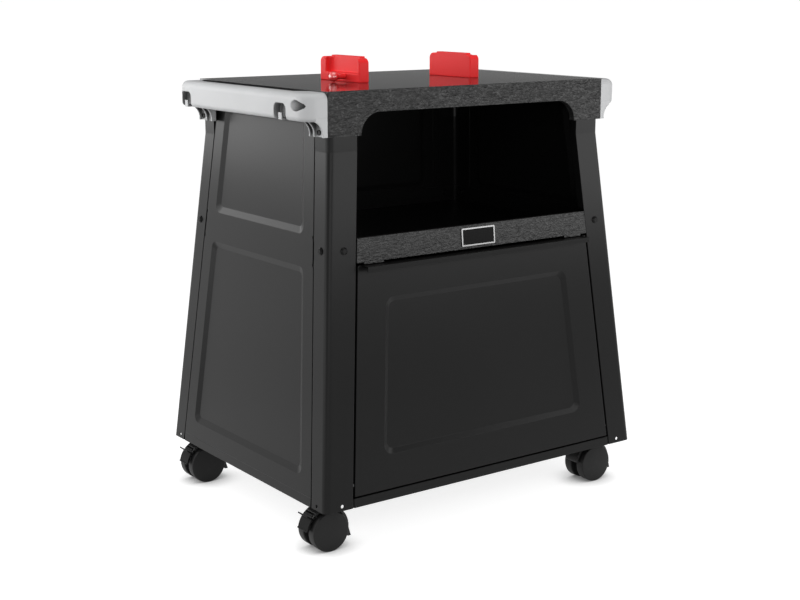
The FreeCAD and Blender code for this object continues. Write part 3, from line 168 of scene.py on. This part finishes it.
class Tree:
    """A material or world node tree, with short calls to add and join its nodes."""

    def __init__(self, owner):
        owner.use_nodes = True
        self.tree = owner.node_tree
        self.tree.nodes.clear()

    def add(self, kind, settings=None, **inputs):
        """A new node. Its inputs are named as in Blender, with _ for a space."""
        node = self.tree.nodes.new(kind)
        for key, value in (settings or {}).items():
            setattr(node, key, value)
        for key, value in inputs.items():
            self.feed(node.inputs[key.replace("_", " ")], value)
        return node

    def feed(self, socket, value):
        """Joins another node's output to a socket, or sets the socket's own value."""
        if isinstance(value, bpy.types.NodeSocket):
            self.tree.links.new(value, socket)
        else:
            socket.default_value = value

    def mix(self, factor, low, high):
        """Colour between two colours."""
        node = self.add("ShaderNodeMix", {"data_type": "RGBA"}, Factor=factor)
        self.feed(node.inputs[MIX_LOW], low)
        self.feed(node.inputs[MIX_HIGH], high)
        return node.outputs[MIX_RESULT]

    def spread(self, value, low, high, start=0.0, end=1.0):
        """A number that runs from low to high while the value runs from start to end."""
        node = self.add("ShaderNodeMapRange", {"clamp": True}, Value=value)
        for key, number in (("From Min", start), ("From Max", end), ("To Min", low), ("To Max", high)):
            self.feed(node.inputs[key], number)
        return node.outputs["Result"]

    def calculate(self, operation, first, second):
        """What a Math node makes of two numbers."""
        node = self.add("ShaderNodeMath", {"operation": operation})
        self.feed(node.inputs[0], first)
        self.feed(node.inputs[1], second)
        return node.outputs[0]


def colour(red, green, blue):
    """An opaque colour."""
    return (red, green, blue, 1.0)


def grey(level):
    return colour(level, level, level)


def noise(tree, place, scale, detail=2.0, roughness=0.5, distortion=0.0):
    """A cloudy pattern from 0 to 1."""
    node = tree.add(
        "ShaderNodeTexNoise", Vector=place, Scale=scale, Detail=detail, Roughness=roughness,
        Distortion=distortion)
    return node.outputs["Fac"]


def material(name, paint):
    """A material whose paint function gives the shader's inputs."""
    made = bpy.data.materials.new(name)
    tree = Tree(made)
    place = tree.add("ShaderNodeTexCoord").outputs["Object"]
    shader = tree.add("ShaderNodeBsdfPrincipled")
    for key, value in paint(tree, place).items():
        tree.feed(shader.inputs[key], value)
    tree.add("ShaderNodeOutputMaterial", Surface=shader.outputs[0])
    return made


def rounded_edges(tree, radius):
    """Normals that round the edges over by a radius."""
    return tree.add("ShaderNodeBevel", {"samples": EDGE_SAMPLES}, Radius=radius).outputs[0]


def bump(tree, height, strength, distance, normal=None):
    """Normals that follow a height pattern."""
    node = tree.add("ShaderNodeBump", Height=height, Strength=strength, Distance=distance)
    if normal is not None:
        tree.feed(node.inputs["Normal"], normal)
    return node.outputs[0]


def hollow(tree, reach):
    """How open a spot is: low in slots and pockets, one on open faces."""
    settings = {"samples": HOLLOW_SAMPLES, "only_local": True}
    return tree.add("ShaderNodeAmbientOcclusion", settings, Distance=reach).outputs["AO"]


# Materials


def powder_coat(tree, place):
    """Satin black paint with a faint orange peel."""
    peel = noise(tree, place, scale=700.0, roughness=0.6)
    cloud = noise(tree, place, scale=5.0, detail=3.0)
    broad = tree.spread(cloud, low=0.26, high=0.32)
    fine = tree.spread(peel, low=0.0, high=0.04)
    edge = rounded_edges(tree, mm(1.4))
    return {
        "Base Color": tree.mix(cloud, low=grey(0.0038), high=grey(0.0056)),
        "Roughness": tree.calculate("ADD", broad, fine),
        "Specular IOR Level": 0.15,
        "Normal": bump(tree, peel, strength=0.10, distance=mm(0.06), normal=edge)}


def hammered(tree, place, relief=mm(2.3)):
    """Black paint dried in small close dimples, drawn out sideways."""
    drawn_out = tree.add("ShaderNodeMapping", Vector=place, Scale=HAMMER_SCALES).outputs[0]
    wrinkle = noise(tree, drawn_out, scale=220.0, detail=1.0, roughness=0.4, distortion=1.6)
    dimples = tree.add("ShaderNodeTexVoronoi", {"feature": "SMOOTH_F1"}, Vector=drawn_out, Scale=240.0)
    depth = tree.calculate("MULTIPLY", dimples.outputs["Distance"], DIMPLE_SHARE)
    height = tree.calculate("ADD", wrinkle, depth)
    crest = tree.spread(height, low=0.0, high=1.0, start=0.50, end=0.95)
    edge = rounded_edges(tree, mm(0.9))
    return {
        # Painted highlight: the crests of the pattern are painted lighter, on top of the real relief that
        # the bump gives
        "Base Color": tree.mix(crest, low=grey(0.008), high=grey(0.024)),
        "Roughness": tree.spread(crest, low=0.36, high=0.24),
        "Specular IOR Level": 0.22,
        "Normal": bump(tree, height, strength=1.0, distance=relief, normal=edge)}


def hammered_shallow(tree, place):
    """The hammered paint on the crossbar, where its dimples came out shallower."""
    paint = hammered(tree, place, relief=mm(1.4))
    cloud = noise(tree, place, scale=160.0)
    paint["Base Color"] = tree.mix(cloud, low=grey(0.012), high=grey(0.024))
    return paint


def enamel(tree, place):
    """Smooth gloss black of the top plate."""
    cloud = noise(tree, place, scale=9.0, detail=3.0)
    peel = noise(tree, place, scale=420.0)
    edge = rounded_edges(tree, mm(0.9))
    return {
        "Base Color": tree.mix(cloud, low=grey(0.008), high=grey(0.012)),
        "Roughness": tree.spread(cloud, low=0.09, high=0.13),
        "Specular IOR Level": 0.5,
        "Normal": bump(tree, peel, strength=0.03, distance=mm(0.03), normal=edge)}


def handle_grey(tree, place):
    """Light grey moulded plastic with a fine spark-eroded grain, with painted shade darkening its colour in
    its slots and pockets.
    """
    grain = noise(tree, place, scale=1400.0, roughness=0.6)
    cloud = noise(tree, place, scale=14.0)
    face = tree.mix(cloud, low=colour(0.415, 0.42, 0.425), high=colour(0.46, 0.465, 0.47))
    # Painted shade: the colour goes dark where walls close in round a spot, in the slots, pockets and
    # gusset bays
    painted_shade_openness = tree.spread(hollow(tree, HANDLE_HOLLOW), low=0.0, high=1.0, start=0.40, end=0.93)
    return {
        "Base Color": tree.mix(painted_shade_openness, low=grey(0.03), high=face),
        "Roughness": tree.spread(grain, low=0.38, high=0.52),
        "Specular IOR Level": 0.35,
        "Normal": bump(tree, grain, strength=0.15, distance=mm(0.06))}


def lock_red(tree, place):
    """Satin red plastic, a little translucent."""
    grain = noise(tree, place, scale=600.0)
    cloud = noise(tree, place, scale=25.0)
    return {
        "Base Color": tree.mix(cloud, low=colour(0.72, 0.021, 0.023), high=colour(0.78, 0.027, 0.029)),
        "Roughness": tree.spread(grain, low=0.30, high=0.40),
        "Specular IOR Level": 0.10,
        "Subsurface Weight": 0.15,
        "Subsurface Radius": (mm(3.0), mm(0.6), mm(0.5)),
        "Subsurface Scale": 1.0,
        "Normal": bump(tree, grain, strength=0.04, distance=mm(0.05))}


def knob_red(tree, place):
    """The same red, polished, on the plungers."""
    shine = lock_red(tree, place)
    polish = noise(tree, place, scale=300.0)
    shine["Roughness"] = tree.spread(polish, low=0.12, high=0.18)
    shine["Specular IOR Level"] = 1.0
    shine["Coat Weight"] = 1.0
    shine["Coat Roughness"] = 0.06
    shine["Coat IOR"] = 1.8
    return shine


def caster_black(tree, place):
    """Fine-grained black nylon of the hoods and catches."""
    grain = noise(tree, place, scale=1100.0, roughness=0.6)
    edge = rounded_edges(tree, mm(0.4))
    return {
        "Base Color": tree.mix(grain, low=grey(0.008), high=grey(0.012)),
        "Roughness": tree.spread(grain, low=0.36, high=0.48),
        "Specular IOR Level": 0.28,
        "Normal": bump(tree, grain, strength=0.2, distance=mm(0.08), normal=edge)}


def pedal_painted_shade(tree, place):
    """The caster nylon on the pedals, painted darker and less shiny: painted shade, for pedals that sit in
    shadow.
    """
    shaded_nylon = caster_black(tree, place)
    cloud = noise(tree, place, scale=700.0)
    # Painted shade: a darker colour than the hoods' nylon, for the shadow the pedals sit in
    shaded_nylon["Base Color"] = tree.mix(cloud, low=grey(0.003), high=grey(0.006))
    shaded_nylon["Specular IOR Level"] = 0.08
    return shaded_nylon


def wheel_black(tree, place):
    """Smooth black wheels with a fine turned grain and a trace of dust."""
    grain = noise(tree, place, scale=900.0, roughness=0.6)
    cloud = noise(tree, place, scale=60.0, detail=4.0, roughness=0.7)
    dust = tree.spread(cloud, low=0.0, high=1.0, start=0.5, end=0.8)
    return {
        "Base Color": tree.mix(dust, low=grey(0.007), high=grey(0.011)),
        "Roughness": tree.spread(grain, low=0.42, high=0.55),
        "Specular IOR Level": 0.20,
        "Normal": bump(tree, grain, strength=0.12, distance=mm(0.06))}


def black_steel(tree, place):
    """Blackened steel of the bolts, screws and pedal pins."""
    grain = noise(tree, place, scale=900.0, detail=3.0)
    return {
        "Base Color": tree.mix(grain, low=grey(0.003), high=grey(0.006)),
        "Roughness": tree.spread(grain, low=0.20, high=0.30),
        "Specular IOR Level": 0.10,
        "Normal": bump(tree, grain, strength=0.1, distance=mm(0.05))}


def zinc(tree, place):
    """Zinc plating with a faint spangle."""
    grain = noise(tree, place, scale=500.0, detail=3.0, roughness=0.65)
    edge = rounded_edges(tree, mm(0.3))
    return {
        "Base Color": tree.mix(grain, low=colour(0.46, 0.46, 0.47), high=colour(0.58, 0.58, 0.60)),
        "Metallic": 1.0,
        "Roughness": tree.spread(grain, low=0.25, high=0.40),
        "Normal": bump(tree, grain, strength=0.08, distance=mm(0.05), normal=edge)}


def badge(tree, place):
    """A bright brushed rim round a bare field of black lacquer."""
    low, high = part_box("badge_plate")
    along = tree.add("ShaderNodeMapping", Vector=place, Scale=BRUSH_SCALES).outputs[0]
    brushed = noise(tree, along, scale=1.0)
    axes = tree.add("ShaderNodeSeparateXYZ", Vector=place).outputs
    outside = []
    for axis, start, end in (("X", low.x, high.x), ("Z", low.z, high.z)):
        offset = tree.calculate("SUBTRACT", axes[axis], (start + end) / 2)
        from_middle = tree.calculate("ABSOLUTE", offset, 0.0)
        outside.append(tree.calculate("GREATER_THAN", from_middle, (end - start) / 2 - BADGE_RIM))
    rim = tree.calculate("MAXIMUM", *outside)
    field = tree.mix(brushed, low=grey(0.003), high=grey(0.006))
    silver = tree.mix(brushed, low=grey(0.22), high=grey(0.30))
    return {
        "Base Color": tree.mix(rim, low=field, high=silver),
        "Metallic": rim,
        "Specular IOR Level": 0.05,
        "Roughness": tree.spread(brushed, low=0.24, high=0.36)}


PAINTS = {
    "satin_black_steel": powder_coat,
    "hammered_black_steel": hammered,
    "gloss_black_steel": enamel,
    "black_fasteners": black_steel,
    "plated_steel": zinc,
    "badge_metal": badge,
    "handle_plastic": handle_grey,
    "red_plastic": lock_red,
    "caster_plastic": caster_black,
    "wheel_plastic": wheel_black,
    "catch_plastic": caster_black}
materials = {slot: material(slot, paint) for slot, paint in PAINTS.items()}
polished_red = material("red_plastic_polished", knob_red)
painted_shade_black = material("caster_plastic_painted_shade", pedal_painted_shade)
crossbar_paint = material("hammered_black_shallow", hammered_shallow)
slot_of = {part["node"]: part["material_slot"] for part in frame["record"]["subparts"]}

for name, node in nodes.items():
    made = materials[slot_of[name]]
    if name == "front_crossbar":
        made = crossbar_paint
    elif name.endswith("_pedal_pin"):
        made = materials["black_fasteners"]
    for slot in node.material_slots:
        slot.material = made


# Pieces


def new_piece(name, mesh, carrier, slot, made=None):
    """Links a mesh as a smooth piece that rides on the body of a CAD node, its carrier."""
    piece = bpy.data.objects.new(name, mesh)
    scene.collection.objects.link(piece)
    mesh.materials.clear()
    mesh.materials.append(made or materials[slot])
    for face in mesh.polygons:
        face.use_smooth = True
    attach(piece, nodes[carrier]["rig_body"])
    return piece


def stand_in(name, mesh, node_name, made=None):
    """A piece that stands for a CAD node."""
    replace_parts(new_piece(name, mesh, node_name, slot_of[node_name], made), node_name)


def finished(mesh, name):
    """A Blender mesh from one that was built point by point."""
    data = bpy.data.meshes.new(name)
    mesh.to_mesh(data)
    mesh.free()
    return data


def softened(name, node_name, voxel, rounds, made=None):
    """A copy of a moulded CAD piece with its edges rounded over, as plastic leaves the mould."""
    draft = bpy.data.objects.new("draft", nodes[node_name].data.copy())
    scene.collection.objects.link(draft)
    remesh = draft.modifiers.new("remesh", "REMESH")
    remesh.mode = "VOXEL"
    remesh.voxel_size = voxel
    smooth = draft.modifiers.new("smooth", "SMOOTH")
    smooth.factor = SMOOTHING
    smooth.iterations = rounds
    depsgraph = bpy.context.evaluated_depsgraph_get()
    mesh = bpy.data.meshes.new_from_object(draft.evaluated_get(depsgraph))
    bpy.data.objects.remove(draft)
    stand_in(name, mesh, node_name, made)


def lathe(profile, steps):
    """A surface from a profile of (radius, along Y) points turned round the Y axis."""
    mesh = bmesh.new()
    rings = []
    for step in range(steps):
        turn = 2 * math.pi * step / steps
        ring = []
        for radius, along in profile:
            ring.append(mesh.verts.new((radius * math.sin(turn), along, radius * math.cos(turn))))
        rings.append(ring)
    for i, ring in enumerate(rings):
        ahead = rings[(i + 1) % steps]
        for j in range(len(profile) - 1):
            mesh.faces.new((ring[j], ring[j + 1], ahead[j + 1], ahead[j]))
    bmesh.ops.remove_doubles(mesh, verts=mesh.verts, dist=WELD)
    return mesh


def arc(centre, start_angle, end_angle, radius):
    """Points of an arc in a profile, with angles in degrees from the axis of radius."""
    points = []
    for i in range(ARC_STEPS + 1):
        angle = math.radians(start_angle + (end_angle - start_angle) * i / ARC_STEPS)
        points.append((centre[0] + radius * math.cos(angle), centre[1] + radius * math.sin(angle)))
    return points


def wheel_profile(radius, depth):
    """Section of a wheel from its bore, over the tread, to the middle of its domed face."""
    rim = radius - WHEEL_EDGE
    dome_radius = (rim ** 2 + WHEEL_DOME ** 2) / (2 * WHEEL_DOME)
    points = [(WHEEL_BORE, 0.0)]
    points += arc((rim, WHEEL_EDGE), -90, 0, WHEEL_EDGE)
    points += arc((rim, depth - WHEEL_DOME - WHEEL_EDGE), 0, OUTER_EDGE_TURN, WHEEL_EDGE)
    for share in DOME_RINGS:
        ring = rim * share
        points.append((ring, depth - dome_radius + math.sqrt(dome_radius ** 2 - ring ** 2)))
    return points


def wheel(node_name, outward):
    """A turned wheel in place of a CAD wheel, with its domed face outward, which is -1 or 1 along Y."""
    low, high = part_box(node_name)
    centre = (low + high) / 2
    inner_face = high.y if outward < 0 else low.y
    mesh = lathe(wheel_profile((high.z - low.z) / 2, high.y - low.y), WHEEL_STEPS)
    bmesh.ops.transform(mesh, matrix=Matrix.Diagonal((1.0, outward, 1.0, 1.0)), verts=mesh.verts)
    bmesh.ops.translate(mesh, vec=Vector((centre.x, inner_face, centre.z)), verts=mesh.verts)
    bmesh.ops.recalc_face_normals(mesh, faces=mesh.faces)
    name = node_name + "_turned"
    stand_in(name, finished(mesh, name), node_name)


def bead(mesh, centre, along):
    """A rounded lump of sealer, drawn out along a panel's edge, which runs along X or Y."""
    made = bmesh.ops.create_icosphere(mesh, subdivisions=BEAD_SUBDIVISIONS, radius=1.0)
    for vert in made["verts"]:
        wave = 1.0 + BEAD_WAVE * math.sin(BEAD_WAVE_X * vert.co.x + BEAD_WAVE_Z * vert.co.z)
        full = [math.copysign(abs(share) ** BEAD_FULLNESS, share) * wave for share in vert.co]
        length, thickness, height = (share * reach for share, reach in zip(full, BEAD_REACH))
        offset = (length, thickness, height) if along == "X" else (thickness, length, height)
        vert.co = centre + Vector(offset)


def corner_sealer():
    """Black sealer where the panels' edges pass the shelf."""
    mesh = bmesh.new()
    for height, back, side in SEALED:
        for side_x in (-1, 1):
            bead(mesh, Vector((side_x * back[0], back[1], height)), "X")
            for side_y in (-1, 1):
                bead(mesh, Vector((side_x * side[0], side_y * side[1], height)), "Y")
    new_piece("corner_sealer", finished(mesh, "corner_sealer"), "back_panel", "satin_black_steel")


for corner in ("front_left", "front_right", "rear_left", "rear_right"):
    caster = "caster_" + corner
    wheel(caster + "_wheel_front", -1)
    wheel(caster + "_wheel_rear", 1)
    softened("hood_" + corner, caster + "_hood", voxel=mm(0.7), rounds=4)
for corner in ("front_left", "rear_left"):
    pedal = "caster_" + corner + "_brake_pedal"
    # The pedals take the darker copy of the caster nylon, which is painted shade
    softened("pedal_" + corner, pedal, voxel=mm(0.45), rounds=4, made=painted_shade_black)
for side in ("left", "right"):
    softened("handle_shell_" + side, "handle_" + side, voxel=mm(0.75), rounds=6)
    softened("lock_shell_" + side, "grill_lock_" + side, voxel=mm(0.8), rounds=4)
    softened("plunger_knob_" + side, "lock_plunger_" + side, voxel=mm(0.5), rounds=3, made=polished_red)
corner_sealer()


# Stage, light and camera


def floor():
    """A pale floor that shows white around the object and takes its shadow, with a painted contact shadow
    that darkens its glow round touching pieces.
    """
    mesh = bpy.data.meshes.new("floor")
    reach = FLOOR_REACH
    corners = [(-reach, -reach, 0.0), (reach, -reach, 0.0), (reach, reach, 0.0), (-reach, reach, 0.0)]
    mesh.from_pydata(corners, [], [(0, 1, 2, 3)])
    plane = bpy.data.objects.new("floor", mesh)
    scene.collection.objects.link(plane)
    made = bpy.data.materials.new("pale_floor")
    made.cycles.emission_sampling = "NONE"
    tree = Tree(made)
    paper = tree.add("ShaderNodeBsdfDiffuse", Color=grey(FLOOR_SHADE))
    rays = tree.add("ShaderNodeLightPath").outputs
    seen = tree.calculate("MAXIMUM", rays["Is Camera Ray"], rays["Is Glossy Ray"])
    seen = tree.calculate("MAXIMUM", seen, rays["Is Transmission Ray"])
    settings = {"samples": CONTACT_SAMPLES}
    # Painted contact shadow: the floor's glow is dimmed where a touching piece closes in round it
    contact = tree.add("ShaderNodeAmbientOcclusion", settings, Distance=CONTACT_REACH).outputs["AO"]
    white = tree.spread(contact, CONTACT_GLOW, FLOOR_GLOW, start=CONTACT_DARKEST, end=CONTACT_CLEAR)
    strength = tree.calculate("MULTIPLY", seen, white)
    glow = tree.add("ShaderNodeEmission", Color=grey(1.0), Strength=strength)
    both = tree.add("ShaderNodeAddShader")
    tree.feed(both.inputs[0], paper.outputs[0])
    tree.feed(both.inputs[1], glow.outputs[0])
    tree.add("ShaderNodeOutputMaterial", Surface=both.outputs[0])
    plane.data.materials.append(made)


def sky():
    """The room's light, with darker walls, behind a backdrop that shows white."""
    world = bpy.data.worlds.new("studio")
    scene.world = world
    tree = Tree(world)
    place = tree.add("ShaderNodeTexCoord").outputs["Generated"]
    height = tree.add("ShaderNodeSeparateXYZ", Vector=place).outputs["Z"]
    level = tree.spread(height, low=HORIZON_LEVEL, high=SKY_LEVEL, start=SKY_START, end=SKY_FULL)
    for direction, side_begins, side_full, begins, full, wall_level in WALLS:
        towards = tree.add("ShaderNodeVectorMath", {"operation": "DOT_PRODUCT"})
        tree.feed(towards.inputs[0], place)
        tree.feed(towards.inputs[1], direction)
        share = tree.spread(towards.outputs["Value"], low=0.0, high=1.0, start=side_begins, end=side_full)
        begins_at = math.sin(math.radians(begins))
        full_at = math.sin(math.radians(full))
        wall = tree.spread(height, low=HORIZON_LEVEL, high=wall_level, start=begins_at, end=full_at)
        change = tree.calculate("MULTIPLY", tree.calculate("SUBTRACT", wall, level), share)
        level = tree.calculate("ADD", level, change)
    rays = tree.add("ShaderNodeLightPath").outputs
    strength = tree.spread(rays["Is Camera Ray"], low=level, high=BACKDROP_LEVEL)
    shade = tree.add("ShaderNodeBackground", Color=grey(1.0), Strength=strength)
    tree.add("ShaderNodeOutputWorld", Surface=shade.outputs[0])


def turn_towards(thing, direction):
    """Points a lamp or the camera in a direction."""
    thing.rotation_euler = direction.to_track_quat("-Z", "Y").to_euler()


def camera():
    """The camera where the photograph was taken from."""
    data = bpy.data.cameras.new("view")
    data.sensor_width = SENSOR_MM
    data.sensor_fit = "HORIZONTAL"
    data.lens = LENS_MM
    data.clip_end = VIEW_REACH
    view = bpy.data.objects.new("view", data)
    level = math.cos(VIEW_PITCH)
    ahead = Vector((math.sin(VIEW_YAW) * level, math.cos(VIEW_YAW) * level, -math.sin(VIEW_PITCH)))
    view.location = VIEW_TARGET - ahead * VIEW_DISTANCE
    turn_towards(view, ahead)
    scene.collection.objects.link(view)
    scene.camera = view


def softbox(name, place, aim, width, height, power):
    """A rectangular lamp that the camera doesn't see."""
    data = bpy.data.lights.new(name, "AREA")
    data.shape = "RECTANGLE"
    data.size = width
    data.size_y = height
    data.energy = power
    lamp = bpy.data.objects.new(name, data)
    lamp.location = place
    turn_towards(lamp, Vector(aim) - Vector(place))
    lamp.visible_camera = False
    scene.collection.objects.link(lamp)


floor()
sky()
camera()
for box in SOFTBOXES:
    softbox(*box)
scene.view_settings.view_transform = "Standard"
